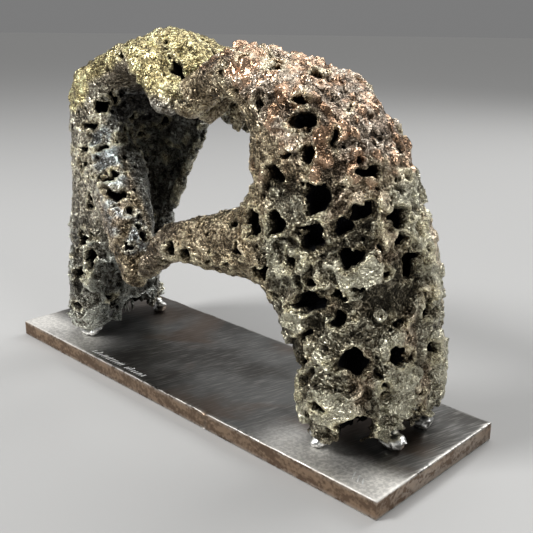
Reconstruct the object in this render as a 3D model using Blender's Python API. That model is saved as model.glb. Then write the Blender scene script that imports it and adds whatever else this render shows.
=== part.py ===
"""Two hands of fused steel lace that meet in a heart, welded upright on a flat steel bar.

The hands are modelled as solids with the shape of their outer skin: each arm and palm is one loft,
a dished palm is cut out of it, the thumb and four fingers are tapered tubes joined to it, and the
openings of the lace are cut into the skin. Metres, +Z up, origin at the middle of the bar's underside.
"""

import math

import bmesh
import bpy
import numpy as np
from mathutils import Matrix, Vector
from mathutils.bvhtree import BVHTree

MM = 0.001

# Driving sizes of the base bar
PLATE_LENGTH = 0.360
PLATE_WIDTH = 0.120
PLATE_THICK = 0.012
PLATE_EDGE = 0.0008

# Driving sizes of the hands, which stand on weld tacks
HAND_HEIGHT = 0.226
FIT_GAP = 0.0003

# The hands are drawn in units of a 226th of their height, measured up from the bar's top face
UNIT = HAND_HEIGHT / 226.0

# Openings of the lace, cut into the skin to one depth
OPENING_DEPTH = 13 * UNIT
OPENING_SIDES = 8
SMALL_OPENING = 12 * UNIT
SMALL_OPENING_SIDES = 6
OPENING_TAPER = 0.8
OPENING_WOBBLE = 0.16

# Openings on the sides that no chosen place covers: spacing, smallest and largest width, tilt in degrees
SCATTER_SPACING = 26 * UNIT
SCATTER_SMALL = 7 * UNIT
SCATTER_LARGE = 13 * UNIT
SCATTER_LEAN = 40
SCATTER_TRIES = 400
LACE_SEED = 7

# A skin direction is an average over the faces around a place, which count less beyond this distance
SKIN_REACH = 8 * UNIT

# Under this length the level direction across a skin is too short to trust, so the skin faces up
LEVEL_LIMIT = 0.3

# Rings and squareness of the drawn shapes, and the hands' reach from front to back
RING_POINTS = 22
RING_SQUARENESS = 2.5
PALM_POINTS = 16
PALM_SQUARENESS = 2.4
FINGER_SIDES = 10
THUMB_SIDES = 12
TIP_RISE = 0.6
TIP_WIDTH = 0.7
FRONT_Y = -46
BACK_Y = 44
FOOT_HEIGHT = 6

# Arm and palm from foot to knuckles: four corners of each section, front outer, front inner,
# back outer and back inner, each as (x, z)
RIGHT_ARM = (
    ((151, FOOT_HEIGHT), (104, FOOT_HEIGHT), (161, FOOT_HEIGHT), (118, FOOT_HEIGHT)),
    ((151, 26), (98, 24), (163, 24), (118, 22)),
    ((151, 48), (90, 44), (163, 46), (116, 42)),
    ((150, 68), (80, 62), (162, 64), (112, 56)),
    ((149, 86), (66, 78), (161, 82), (105, 70)),
    ((148, 104), (48, 96), (158, 99), (96, 86)),
    ((147, 122), (38, 114), (153, 116), (86, 102)),
    ((145, 140), (36, 130), (146, 132), (74, 117)),
    ((142, 158), (45, 144), (139, 148), (63, 132)),
    ((136, 175), (51, 158), (131, 165), (50, 146)),
    ((126, 192), (52, 172), (120, 182), (44, 160)),
    ((110, 206), (48, 184), (105, 197), (42, 172)),
    ((88, 214), (43, 194), (86, 208), (40, 182)),
    ((64, 218), (38, 200), (62, 213), (36, 188)),
)
LEFT_ARM = (
    ((151, FOOT_HEIGHT), (104, FOOT_HEIGHT), (156, FOOT_HEIGHT), (118, FOOT_HEIGHT)),
    ((150, 26), (99, 24), (157, 24), (118, 22)),
    ((149, 48), (92, 44), (157, 46), (116, 42)),
    ((148, 68), (84, 62), (156, 64), (112, 56)),
    ((147, 86), (72, 78), (155, 82), (105, 70)),
    ((145, 104), (60, 96), (152, 99), (96, 86)),
    ((144, 122), (50, 114), (149, 116), (86, 102)),
    ((142, 140), (50, 130), (144, 132), (74, 117)),
    ((140, 158), (58, 144), (138, 148), (63, 132)),
    ((138, 175), (68, 158), (130, 163), (49, 146)),
    ((133, 192), (77, 172), (119, 178), (43, 160)),
    ((118, 207), (78, 186), (104, 192), (46, 172)),
    ((96, 217), (68, 196), (84, 204), (44, 184)),
    ((72, 222), (56, 202), (64, 211), (42, 192)),
)

# Fingers from root to tip, as (x, y, z, radius) along the middle line
RIGHT_FINGERS = {
    "index": ((98, -30, 182, 14), (84, -33, 196, 14), (66, -33, 204, 14), (44, -33, 209, 13),
              (26, -34, 204, 12), (14, -37, 195, 11), (8, -40, 187, 8)),
    "middle": ((98, -12, 182, 14), (82, -12, 197, 14), (58, -12, 207, 14), (32, -12, 211, 13),
               (12, -13, 206, 13), (4, -14, 192, 11), (2, -15, 180, 8)),
    "ring": ((92, 10, 176, 14), (78, 10, 189, 14), (54, 10, 202, 14), (28, 11, 209, 13),
             (10, 12, 203, 13), (2, 12, 186, 11), (0, 12, 172, 8)),
    "little": ((82, 28, 160, 11), (72, 31, 176, 13), (52, 31, 191, 13), (28, 30, 198, 12),
               (10, 29, 192, 12), (0, 28, 178, 10), (-4, 27, 166, 7)),
}
LEFT_FINGERS = {
    "index": ((-100, -30, 186, 14), (-86, -33, 199, 14), (-66, -33, 210, 13), (-44, -33, 214, 13),
              (-28, -34, 206, 12), (-17, -37, 195, 11), (-10, -40, 186, 8)),
    "middle": ((-100, -12, 186, 14), (-82, -12, 203, 14), (-60, -12, 216, 14), (-36, -12, 221, 14),
               (-14, -13, 213, 13), (-6, -14, 196, 11), (-4, -15, 183, 8)),
    "ring": ((-94, 10, 178, 14), (-78, 10, 195, 14), (-58, 10, 211, 14), (-35, 11, 217, 13),
             (-13, 12, 209, 12), (-4, 12, 190, 11), (-2, 12, 176, 8)),
    "little": ((-84, 28, 160, 11), (-74, 31, 179, 13), (-54, 31, 196, 12), (-34, 30, 204, 12),
               (-14, 29, 197, 11), (-8, 28, 181, 10), (-6, 27, 169, 7)),
}

# Thumbs from the ball of the thumb to the tip
RIGHT_THUMB = ((98, -24, 118, 20), (78, -28, 114, 23), (58, -32, 110, 23), (40, -37, 108, 19), (20, -41, 105, 15),
               (2, -43, 102, 13), (-14, -43, 95, 12), (-30, -43, 83, 12), (-43, -43, 73, 8))
LEFT_THUMB = ((-104, -24, 144, 20), (-88, -28, 137, 22), (-74, -33, 126, 21), (-62, -38, 112, 19),
              (-52, -42, 98, 17), (-47, -43, 84, 15), (-45, -43, 72, 13), (-44, -43, 62, 9))

# The dish of the palm: floor x, mouth x, height, front y and back y of each section
PALM_SECTIONS = (
    (90, 50, 38, -12, 10),
    (113, 40, 60, -22, 20),
    (122, 30, 88, -32, 30),
    (121, 20, 118, -35, 33),
    (112, 20, 146, -35, 33),
    (97, 20, 166, -32, 30),
    (78, 20, 184, -22, 20),
)

# Openings of the lace on the sides towards the front right, as (x, y, z, width, height, lean in degrees)
RIGHT_OPENINGS = (
    (77, -46, 195, 7, 10, 20), (77, -33, 214, 12, 5, 0), (93, -19, 208, 9, 6, 10), (47, -45, 211, 7, 6, 0),
    (106, -42, 187, 13, 10, -30), (110, -43, 171, 9, 12, 0), (88, -45, 157, 15, 14, 0), (135, -19, 162, 14, 8, -35),
    (137, 7, 157, 7, 6, 0), (116, -42, 148, 17, 20, 0), (144, -7, 138, 8, 12, 0), (137, -25, 144, 9, 7, 0),
    (131, -36, 134, 12, 8, 30), (90, -45, 133, 10, 9, 0), (75, -46, 127, 7, 16, 15), (147, -5, 125, 12, 9, 0),
    (115, -43, 125, 15, 11, 0), (136, -35, 115, 9, 8, 0), (104, -45, 111, 8, 8, 0), (150, 13, 114, 5, 8, 0),
    (151, 0, 108, 9, 9, 0), (78, -45, 98, 13, 11, 0), (131, -39, 97, 8, 6, 0), (114, -45, 91, 17, 6, 10),
    (155, 12, 86, 5, 13, 0), (133, -40, 82, 10, 8, 0), (154, -7, 78, 8, 6, 0), (115, -45, 69, 7, 6, 0),
    (139, -38, 58, 13, 8, 0), (154, -11, 57, 14, 9, 0), (157, 21, 55, 6, 9, 0), (112, -44, 41, 6, 16, 0),
    (152, -21, 41, 8, 6, 0), (127, -45, 30, 11, 7, 0), (145, -35, 21, 22, 11, 0), (157, 10, 19, 8, 8, 0),
    (7, -55, 99, 8, 8, 30), (25, -54, 100, 9, 6, -20),
)
LEFT_OPENINGS = (
    (-84, -39, 180, 10, 11, 0), (-92, -44, 167, 10, 6, 20), (-99, -45, 150, 8, 6, 0), (-82, -42, 151, 6, 8, 0),
    (-98, -46, 137, 6, 11, 0), (-65, -49, 135, 12, 6, 25), (-57, -51, 124, 13, 8, -15), (-44, -47, 114, 7, 6, 0),
    (-96, -45, 87, 6, 8, 0), (-107, -45, 80, 6, 8, 0), (-109, -44, 55, 9, 12, 0), (-122, -45, 26, 7, 6, 0),
    (-103, -27, 33, 9, 6, 0),
)
CHOSEN_SIDE = (0.66, -0.69, 0.29)
CHOSEN_LIMIT = 0.15

# Weld tacks between the hands and the bar, as (x, y, half length, half width)
LEFT_TACKS = ((-144, -32, 6, 5), (-120, -36, 13, 8), (-122, 33, 8, 7))
RIGHT_TACKS = ((122, -39, 7, 7), (153, -8, 12, 8), (152, 25, 8, 7))
TACK_SIDES = 8
TACK_WOBBLE = 0.12
TACK_PROFILE = ((0.0, 1.0), (0.35, 0.98), (0.7, 0.82), (1.0, 0.55))

# Where the two hands meet, from the top down, as (x, z): finger seam, then the crease of the thumbs
SEAM = ((-12, 260), (-11, 226), (3, 206), (1, 180), (0, 130), (-17, 100), (-42, 63), (-60, 30), (-60, -20))
SEAM_REACH = 300


def clear_scene():
    """Removes the objects that a new file starts with."""
    for item in list(bpy.data.objects):
        bpy.data.objects.remove(item, do_unlink=True)


def metal(name, color, roughness):
    """A Principled metal in one colour."""
    material = bpy.data.materials.new(name)
    material.use_nodes = True
    shader = material.node_tree.nodes["Principled BSDF"]
    shader.inputs["Base Color"].default_value = (*color, 1.0)
    shader.inputs["Metallic"].default_value = 1.0
    shader.inputs["Roughness"].default_value = roughness
    material.diffuse_color = (*color, 1.0)
    return material


def link_mesh(name, builder, material=None):
    """Turns a bmesh into a named object with outward faces."""
    bmesh.ops.recalc_face_normals(builder, faces=builder.faces)
    mesh = bpy.data.meshes.new(name)
    builder.to_mesh(mesh)
    builder.free()
    item = bpy.data.objects.new(name, mesh)
    bpy.context.scene.collection.objects.link(item)
    if material:
        mesh.materials.append(material)
    return item


def as_tool(item):
    """Marks an object as a guide or cutter that isn't a piece of the sculpture."""
    item.hide_render = True
    item.display_type = "WIRE"
    return item


def boolean(target, tool, operation):
    """Adds an exact Boolean of one tool to the target."""
    modifier = target.modifiers.new(f"{operation.lower()} {tool.name}", "BOOLEAN")
    modifier.operation = operation
    modifier.solver = "EXACT"
    modifier.object = tool
    return modifier


def join_all(target, tools):
    """Joins several tools to the target in one exact Boolean, which stays closed where three of them cross."""
    group = bpy.data.collections.new(f"{target.name}_limbs")
    bpy.context.scene.collection.children.link(group)
    for tool in tools:
        group.objects.link(tool)
    modifier = target.modifiers.new("union limbs", "BOOLEAN")
    modifier.operation = "UNION"
    modifier.solver = "EXACT"
    modifier.operand_type = "COLLECTION"
    modifier.collection = group


def on_hand(x, y, z):
    """A drawing point of a hand as a place in the model."""
    return Vector((x * UNIT, y * UNIT, PLATE_THICK + z * UNIT))


def loft(builder, rings):
    """Skins a list of closed rings with flat triangles, which a Boolean cuts truly, and closes both ends."""
    for lower, upper in zip(rings, rings[1:]):
        count = len(lower)
        for i in range(count):
            j = (i + 1) % count
            builder.faces.new((lower[i], lower[j], upper[j]))
            builder.faces.new((lower[i], upper[j], upper[i]))
    for ring in (rings[0], rings[-1]):
        middle = sum((v.co for v in ring), Vector()) / len(ring)
        hub = builder.verts.new(middle)
        for i, vert in enumerate(ring):
            builder.faces.new((vert, ring[(i + 1) % len(ring)], hub))


def tapered_plug(builder, lower, upper):
    """Joins two rings of one flat outline, the same but for its scale, with flat quads and flat ends."""
    count = len(lower)
    for i in range(count):
        j = (i + 1) % count
        builder.faces.new((lower[i], lower[j], upper[j], upper[i]))
    builder.faces.new(lower[::-1])
    builder.faces.new(upper)


def rounded_square(count, squareness):
    """Points round a superellipse that fills the square from -1 to 1."""
    turn = np.linspace(0.0, 2.0 * math.pi, count, endpoint=False)
    power = 2.0 / squareness
    u = np.sign(np.cos(turn)) * np.abs(np.cos(turn)) ** power
    v = np.sign(np.sin(turn)) * np.abs(np.sin(turn)) ** power
    return np.column_stack((u, v))


def arm_loft(name, side, sections):
    """Forearm and palm: every section is a rounded square pulled to its four corners."""
    builder = bmesh.new()
    rings = []
    for front_outer, front_inner, back_outer, back_inner in sections:
        ring = []
        for u, v in rounded_square(RING_POINTS, RING_SQUARENESS):
            outer, back = (1 + u) / 2, (1 + v) / 2
            front = np.array(front_outer) * outer + np.array(front_inner) * (1 - outer)
            rear = np.array(back_outer) * outer + np.array(back_inner) * (1 - outer)
            x, z = front * (1 - back) + rear * back
            y = FRONT_Y + (BACK_Y - FRONT_Y) * back
            ring.append(builder.verts.new(on_hand(side * x, y, z)))
        rings.append(ring)
    loft(builder, rings)
    return link_mesh(name, builder)


def tube(name, points, sides):
    """A tapered limb along a list of (x, y, z, radius), with domed ends."""
    places = [on_hand(x, y, z) for x, y, z, _ in points]
    radii = [radius * UNIT for _, _, _, radius in points]
    for end, inner in ((0, 1), (-1, -2)):
        out = (places[end] - places[inner]).normalized() * radii[end]
        radius = radii[end]
        at = 0 if end == 0 else len(places)
        places.insert(at, places[end] + out * TIP_RISE)
        radii.insert(at, radius * TIP_WIDTH)
    builder = bmesh.new()
    rings = []
    across = Vector((0, 1, 0))
    for i, (place, radius) in enumerate(zip(places, radii)):
        before = places[max(i - 1, 0)]
        after = places[min(i + 1, len(places) - 1)]
        along = (after - before).normalized()
        side = (across - along * across.dot(along)).normalized()
        up = along.cross(side)
        ring = []
        for k in range(sides):
            angle = 2 * math.pi * k / sides
            ring.append(builder.verts.new(place + radius * (math.cos(angle) * side + math.sin(angle) * up)))
        rings.append(ring)
    loft(builder, rings)
    return link_mesh(name, builder)


def palm_cutter(name, side):
    """The hollow of the palm, a rounded plug from its floor out through its mouth."""
    builder = bmesh.new()
    rings = []
    for floor, mouth, z, front, back in PALM_SECTIONS:
        ring = []
        for u, v in rounded_square(PALM_POINTS, PALM_SQUARENESS):
            x = (floor + mouth) / 2 + u * (floor - mouth) / 2
            y = (front + back) / 2 + v * (back - front) / 2
            ring.append(builder.verts.new(on_hand(side * x, y, z)))
        rings.append(ring)
    loft(builder, rings)
    return link_mesh(name, builder)


def far_side(name, side):
    """Everything past the seam, which a hand must not reach into."""
    line = [on_hand(x, 0, z) for x, z in SEAM]
    shift = Vector((side * FIT_GAP / 2, 0, 0))
    reach = Vector((-side * SEAM_REACH * UNIT, 0, 0))
    outline = [p + shift for p in line] + [line[-1] + reach, line[0] + reach]
    half = Vector((0, SEAM_REACH * UNIT, 0))
    builder = bmesh.new()
    near = builder.faces.new([builder.verts.new(p - half) for p in outline])
    pulled = bmesh.ops.extrude_face_region(builder, geom=[near])
    moved = [v for v in pulled["geom"] if isinstance(v, bmesh.types.BMVert)]
    bmesh.ops.translate(builder, verts=moved, vec=2 * half)
    return link_mesh(name, builder)


def read_skin(item):
    """An object's skin as its modifiers leave it: a search tree, face centres, and directions times areas."""
    graph = bpy.context.evaluated_depsgraph_get()
    mesh = item.evaluated_get(graph).to_mesh()
    centres = np.array([face.center for face in mesh.polygons])
    pulls = np.array([face.normal * face.area for face in mesh.polygons])
    return BVHTree.FromObject(item, graph), centres, pulls


def skin_normal(skin, place):
    """The outward direction at a place: the sum of area times direction times exp(-distance^2 / 2 reach^2)."""
    _, centres, pulls = skin
    gap = ((centres - np.array(place)) ** 2).sum(axis=1)
    weight = np.exp(-gap / (2 * SKIN_REACH ** 2))
    return Vector((pulls * weight[:, None]).sum(axis=0).tolist()).normalized()


def opening_cutter(builder, place, normal, width, height, lean, rng):
    """A tapered plug with an uneven outline that stands across the skin at one place."""
    level = Vector((0, 0, 1)).cross(normal)
    level = level.normalized() if level.length > LEVEL_LIMIT else Vector((0, 1, 0))
    level = (level - normal * level.dot(normal)).normalized()
    level = Matrix.Rotation(math.radians(lean), 3, normal) @ level
    rise = normal.cross(level)
    sides = SMALL_OPENING_SIDES if max(width, height) < SMALL_OPENING else OPENING_SIDES
    wobble = (1.0 + rng.uniform(-OPENING_WOBBLE, OPENING_WOBBLE, sides)).tolist()
    rings = []
    for depth, share in ((-OPENING_DEPTH, OPENING_TAPER), (OPENING_DEPTH / 2, 1.0)):
        ring = []
        for k in range(sides):
            angle = 2 * math.pi * k / sides
            across = math.cos(angle) * width / 2 * level + math.sin(angle) * height / 2 * rise
            ring.append(builder.verts.new(place + normal * depth + across * share * wobble[k]))
        rings.append(ring)
    tapered_plug(builder, *rings)


def scattered_places(item, skin, taken, rng):
    """Skin places nearest to random points of the box, well apart, on the sides that no chosen place covers."""
    corners = np.array(item.evaluated_get(bpy.context.evaluated_depsgraph_get()).bound_box)
    low, high = corners.min(axis=0), corners.max(axis=0)
    chosen_side = Vector(CHOSEN_SIDE)
    found = []
    for share in rng.uniform(0.0, 1.0, (SCATTER_TRIES, 3)):
        place = skin[0].find_nearest(Vector((low + (high - low) * share).tolist()))[0]
        normal = skin_normal(skin, place)
        if normal.dot(chosen_side) > CHOSEN_LIMIT:
            continue
        if any((place - other).length < SCATTER_SPACING for other in taken + found):
            continue
        found.append(place)
    return found


def lace_tool(name, item, chosen, rng):
    """One mesh that holds a cutter for every opening of a hand."""
    skin = read_skin(item)
    builder = bmesh.new()
    taken = []
    for x, y, z, width, height, lean in chosen:
        place = skin[0].find_nearest(on_hand(x, y, z))[0]
        normal = skin_normal(skin, place)
        opening_cutter(builder, place, normal, width * UNIT, height * UNIT, lean, rng)
        taken.append(place)
    for place in scattered_places(item, skin, taken, rng):
        normal = skin_normal(skin, place)
        width, height = rng.uniform(SCATTER_SMALL, SCATTER_LARGE, 2).tolist()
        lean = float(rng.uniform(-SCATTER_LEAN, SCATTER_LEAN))
        opening_cutter(builder, place, normal, width, height, lean, rng)
    return as_tool(link_mesh(name, builder))


def weld_tack(name, x, y, long, wide, material, rng):
    """A squat lump of weld between the bar and the foot of a hand."""
    builder = bmesh.new()
    low = PLATE_THICK + FIT_GAP
    tall = FOOT_HEIGHT * UNIT - 2 * FIT_GAP
    wobble = (1.0 + rng.uniform(-TACK_WOBBLE, TACK_WOBBLE, TACK_SIDES)).tolist()
    rings = []
    for rise, share in TACK_PROFILE:
        ring = []
        for k in range(TACK_SIDES):
            angle = 2 * math.pi * k / TACK_SIDES
            across = Vector((math.cos(angle) * long, math.sin(angle) * wide, 0)) * UNIT
            ring.append(builder.verts.new(Vector((x * UNIT, y * UNIT, low + tall * rise)) + across * share * wobble[k]))
        rings.append(ring)
    loft(builder, rings)
    return link_mesh(name, builder, material)


def hand(name, side, sections, fingers, thumb, openings, material):
    """One hand: loft, palm dish, thumb and fingers, parted from the other hand, then the lace."""
    body = arm_loft(name, side, sections)
    body.data.materials.append(material)
    boolean(body, as_tool(palm_cutter(f"{name}_palm_tool", side)), "DIFFERENCE")
    limbs = [as_tool(tube(f"{name}_thumb_tool", thumb, THUMB_SIDES))]
    for finger, points in fingers.items():
        limbs.append(as_tool(tube(f"{name}_{finger}_tool", points, FINGER_SIDES)))
    join_all(body, limbs)
    boolean(body, as_tool(far_side(f"{name}_seam_tool", side)), "DIFFERENCE")
    rng = np.random.default_rng(LACE_SEED)
    boolean(body, lace_tool(f"{name}_lace_tool", body, openings, rng), "DIFFERENCE")
    return body


def base_plate(material):
    """The flat steel bar with its edges just broken."""
    builder = bmesh.new()
    bmesh.ops.create_cube(builder, size=1.0)
    bmesh.ops.scale(builder, verts=builder.verts, vec=(PLATE_LENGTH, PLATE_WIDTH, PLATE_THICK))
    bmesh.ops.translate(builder, verts=builder.verts, vec=(0, 0, PLATE_THICK / 2))
    plate = link_mesh("base_plate", builder, material)
    bevel = plate.modifiers.new("broken edges", "BEVEL")
    bevel.width = PLATE_EDGE
    bevel.segments = 1
    return plate


def main():
    """Builds the whole sculpture."""
    clear_scene()
    steel = metal("ground steel", (0.12, 0.115, 0.11), 0.42)
    left_metal = metal("brass run steel", (0.45, 0.38, 0.22), 0.4)
    right_metal = metal("copper run steel", (0.42, 0.33, 0.27), 0.42)
    base_plate(steel)
    weld = metal("bright weld", (0.5, 0.5, 0.5), 0.3)
    hand("left_hand", -1, LEFT_ARM, LEFT_FINGERS, LEFT_THUMB, LEFT_OPENINGS, left_metal)
    hand("right_hand", 1, RIGHT_ARM, RIGHT_FINGERS, RIGHT_THUMB, RIGHT_OPENINGS, right_metal)
    rng = np.random.default_rng(LACE_SEED)
    for side, tacks in (("left", LEFT_TACKS), ("right", RIGHT_TACKS)):
        for number, (x, y, long, wide) in enumerate(tacks, 1):
            weld_tack(f"{side}_weld_{number}", x, y, long, wide, weld, rng)


main()
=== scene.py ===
# %% [markdown]
# Two hands of run metal on a steel bar.
# The work is welded drop by drop: molten metal is laid over a form, runs, freezes and leaves ragged
# openings into a dark, empty inside. Such a surface has no outline that could be drawn, so this lesson
# grows it. Each hand starts from its plain solid, which is turned into a field of distances. Relief is
# then added to the field as a height, and openings are taken away from it.

# %% Load the frame
import math

import bmesh
import bpy
import numpy as np
import openvdb
from mathutils import Matrix, Vector
from mathutils.bvhtree import BVHTree


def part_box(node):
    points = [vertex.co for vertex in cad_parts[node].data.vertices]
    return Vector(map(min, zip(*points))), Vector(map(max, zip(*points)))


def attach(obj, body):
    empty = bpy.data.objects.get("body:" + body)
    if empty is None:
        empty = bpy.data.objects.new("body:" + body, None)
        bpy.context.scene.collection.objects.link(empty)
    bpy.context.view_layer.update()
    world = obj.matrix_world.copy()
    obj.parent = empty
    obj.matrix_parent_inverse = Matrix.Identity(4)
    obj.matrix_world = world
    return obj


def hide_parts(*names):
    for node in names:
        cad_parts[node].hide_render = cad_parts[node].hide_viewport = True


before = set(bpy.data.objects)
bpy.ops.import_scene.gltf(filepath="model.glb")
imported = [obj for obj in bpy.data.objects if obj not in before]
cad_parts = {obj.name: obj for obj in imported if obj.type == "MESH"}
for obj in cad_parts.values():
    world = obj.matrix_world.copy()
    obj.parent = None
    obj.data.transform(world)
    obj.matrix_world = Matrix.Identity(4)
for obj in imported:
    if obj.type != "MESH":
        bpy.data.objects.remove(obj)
bpy.context.view_layer.update()

# %% [markdown]
# The camera. Its angle, distance and focal length come from the bar: its four top corners and its height
# in the picture fix all of them, because the bar's length is known. The camera could be aimed with a
# constraint, but its place as one matrix keeps the slight roll too.

# %% Camera
PICTURE_SIDE = 533
FOCAL_PIXELS = 775.2
SENSOR = 36.0
CAMERA_YAW = math.radians(44.064)
CAMERA_PITCH = math.radians(17.367)
CAMERA_ROLL = math.radians(0.649)
CAMERA_DISTANCE = 0.7925
CAMERA_REACH = 20.0
AIM = Vector((-0.1460, 0.1921, 0.012))


def add_object(name, data):
    """A new object in the scene, for a mesh, a lamp or a camera."""
    item = bpy.data.objects.new(name, data)
    bpy.context.scene.collection.objects.link(item)
    return item


BACK = Vector((
    math.sin(CAMERA_YAW) * math.cos(CAMERA_PITCH),
    -math.cos(CAMERA_YAW) * math.cos(CAMERA_PITCH),
    math.sin(CAMERA_PITCH),
))
level_right = Vector((0, 0, 1)).cross(BACK).normalized()
RIGHT = Matrix.Rotation(CAMERA_ROLL, 3, BACK) @ level_right
UP = BACK.cross(RIGHT)
camera_data = bpy.data.cameras.new("camera")
camera_data.sensor_width = SENSOR
camera_data.lens = FOCAL_PIXELS / PICTURE_SIDE * SENSOR
camera_data.clip_end = CAMERA_REACH
camera = add_object("camera", camera_data)
turn = Matrix((RIGHT, UP, BACK)).transposed().to_4x4()
camera.matrix_world = Matrix.Translation(AIM + BACK * CAMERA_DISTANCE) @ turn
bpy.context.scene.camera = camera
EYE = camera.matrix_world.translation.copy()
print("camera at", tuple(round(c, 4) for c in EYE), "lens", round(camera_data.lens, 2))

# %% [markdown]
# Random patterns. Two kinds are enough for run metal. Noise blends random numbers on a grid and gives
# lumps and waviness. Pebbles scatter one point in each cell of a grid and measure how near the closest
# one is, which gives beads, drops, pits and pin-holes. Both look their random numbers up in one table
# with a fixed seed, so the surface is the same in each run.

# %% Noise
TABLE_SIDE = 64
TABLE_BITS = 6
RANDOM_SEED = 11
DICE = np.random.default_rng(RANDOM_SEED).random((4, TABLE_SIDE ** 3), dtype=np.float32)


def table_rows(cell):
    """For each axis, the share of the random table's row number that a grid cell and the next one give."""
    wrapped = [cell[:, axis] & (TABLE_SIDE - 1) for axis in range(3)]
    after = [(column + 1) & (TABLE_SIDE - 1) for column in wrapped]
    shifts = (2 * TABLE_BITS, TABLE_BITS, 0)
    return [(now << shift, then << shift) for now, then, shift in zip(wrapped, after, shifts)]


def blend(part, rows, table):
    """Table values at a cell's eight corners, blended along each axis by the shares in part."""
    x, y, z = part.T
    total = 0
    for a in (0, 1):
        for b in (0, 1):
            row = rows[0][a] + rows[1][b]
            low = table[row + rows[2][0]]
            along = low + (table[row + rows[2][1]] - low) * z
            total = total + along * (x if a else 1 - x) * (y if b else 1 - y)
    return total


def noise(points, size, shift=0.0):
    """Smooth lumps from -1 to 1: random numbers at the corners of cells of the given size in mm,
    blended along each axis by 3 t^2 - 2 t^3."""
    place = points / np.asarray(size, np.float32) + np.float32(shift)
    low = np.floor(place)
    part = place - low
    part = part * part * (3 - 2 * part)
    return blend(part, table_rows(low.astype(np.int32)), DICE[3]) * 2 - 1


def lumps(points, size, shift=0.0):
    """Three layers of noise, each half as wide and half as high as the one before."""
    return (
        noise(points, size, shift)
        + 0.5 * noise(points, size / 2, shift + 7.3)
        + 0.25 * noise(points, size / 4, shift + 3.1)
    ) / 1.75


print("random table of", DICE.shape[1], "rows")

# %% Pebbles and curves
PEBBLE_JITTER = 0.8
FAR = 99.0


def pebbles(points, size, shift=0.0):
    """One random point in each cell of the given size in mm. Gives the distance to the nearest one, as a
    share of the size, and that one's own random number."""
    place = points / np.asarray(size, np.float32) + np.float32(shift)
    low = np.floor(place - 0.5)
    part = (place - low).T
    rows = table_rows(low.astype(np.int32))
    nearest = np.full(len(points), FAR, np.float32)
    pick = np.zeros(len(points), np.float32)
    for corner in ((a, b, c) for a in (0, 1) for b in (0, 1) for c in (0, 1)):
        row = rows[0][corner[0]] + rows[1][corner[1]] + rows[2][corner[2]]
        gap = 0
        for axis in range(3):
            gap = gap + (corner[axis] + 0.5 + PEBBLE_JITTER * (DICE[axis][row] - 0.5) - part[axis]) ** 2
        closer = gap < nearest
        pick = np.where(closer, DICE[3][row], pick)
        nearest = np.where(closer, gap, nearest)
    return np.sqrt(nearest), pick


def smooth(low, high, value):
    """0 up to low, 1 from high on, and 3 t^2 - 2 t^3 in between."""
    share = np.clip((value - low) / (high - low), 0, 1)
    return share * share * (3 - 2 * share)


def bell(away, width):
    """1 where away is 0, less than 0.02 from twice the width on: exp(-(away / width)^2)."""
    return np.exp(-(away / width) ** 2)


def dome(gap, radius):
    """The height of a half ball of that radius over its foot, from 1 in the middle to 0 at the edge."""
    return np.sqrt(np.clip(1 - (gap / radius) ** 2, 0, 1))


print("curve from 0 to 1:", [round(float(smooth(0, 1, t / 4)), 2) for t in range(5)])

# %% [markdown]
# Fields of distances. A field says for each point of a grid how far the surface is, with less than 0
# inside. A solid that is a field can be swollen, hollowed, roughened and cut by adding numbers, which no
# mesh modifier could do with thousands of openings. OpenVDB, which Blender brings along, measures the
# distances to a mesh and makes a mesh of a field again.

# %% Fields
class Field:
    """Distances in mm on a grid of cubes: the grid's first corner in steps, and the step."""

    def __init__(self, values, first, step):
        self.values = values
        self.first = np.asarray(first, np.int32)
        self.step = step

    def at(self, points):
        """The field at any points: the eight grid values around each one, blended along the axes."""
        place = points / np.float32(self.step) - self.first
        place = np.clip(place, 0, np.array(self.values.shape) - 1.001).astype(np.float32)
        low = place.astype(np.int32)
        _, width, height = self.values.shape
        strides = (width * height, height, 1)
        rows = [(low[:, k] * stride, (low[:, k] + 1) * stride) for k, stride in enumerate(strides)]
        return blend(place - low, rows, self.values.ravel())

    def slope(self, points):
        """The direction in which the field grows fastest, of length 1: outwards."""
        away = np.empty_like(points)
        for axis in range(3):
            side = np.zeros(3, np.float32)
            side[axis] = self.step
            away[:, axis] = self.at(points + side) - self.at(points - side)
        return away / np.maximum(np.linalg.norm(away, axis=1, keepdims=True), 1e-6)

    def grid(self):
        """The field as an OpenVDB grid."""
        grid = openvdb.FloatGrid(float(self.values.max()))
        grid.copyFromArray(self.values, ijk=tuple(int(c) for c in self.first))
        grid.transform = openvdb.createLinearTransform(voxelSize=self.step)
        return grid

    def points(self, start=0, stop=None):
        """The places of the grid's own points in mm, for the slabs from start to stop along x."""
        axes = [(np.arange(n) + low) * self.step for n, low in zip(self.values.shape, self.first)]
        grid = np.meshgrid(axes[0][start:stop], axes[1], axes[2], indexing="ij")
        return np.stack([axis.ravel() for axis in grid], 1).astype(np.float32)

    def blurred(self, times):
        """Each value averaged with its neighbours along each axis, several times over."""
        values = self.values
        for _ in range(times):
            for axis in range(3):
                values = (values + np.roll(values, 1, axis) + np.roll(values, -1, axis)) / 3
        return Field(values, self.first, self.step)


print("fields can be looked up and blurred")

# %% Distances to a mesh
def measure(corners, faces, like, reach):
    """The distance to a closed mesh, on the same grid as the field called like, cut off at reach."""
    kind = "triangles" if faces.shape[1] == 3 else "quads"
    grid = openvdb.FloatGrid.createLevelSetFromPolygons(
        corners.astype(np.float32),
        transform=openvdb.createLinearTransform(voxelSize=like.step),
        halfWidth=reach / like.step,
        **{kind: faces.astype(np.uint32)},
    )
    values = np.empty(like.values.shape, np.float32)
    grid.copyToArray(values, ijk=tuple(int(c) for c in like.first))
    return Field(values, like.first, like.step)


def offset(field, distance, reach):
    """The distance to the surface that lies at the given value of a field."""
    corners, faces = field.grid().convertToQuads(isovalue=distance)
    return measure(corners, faces, field, reach)


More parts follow.
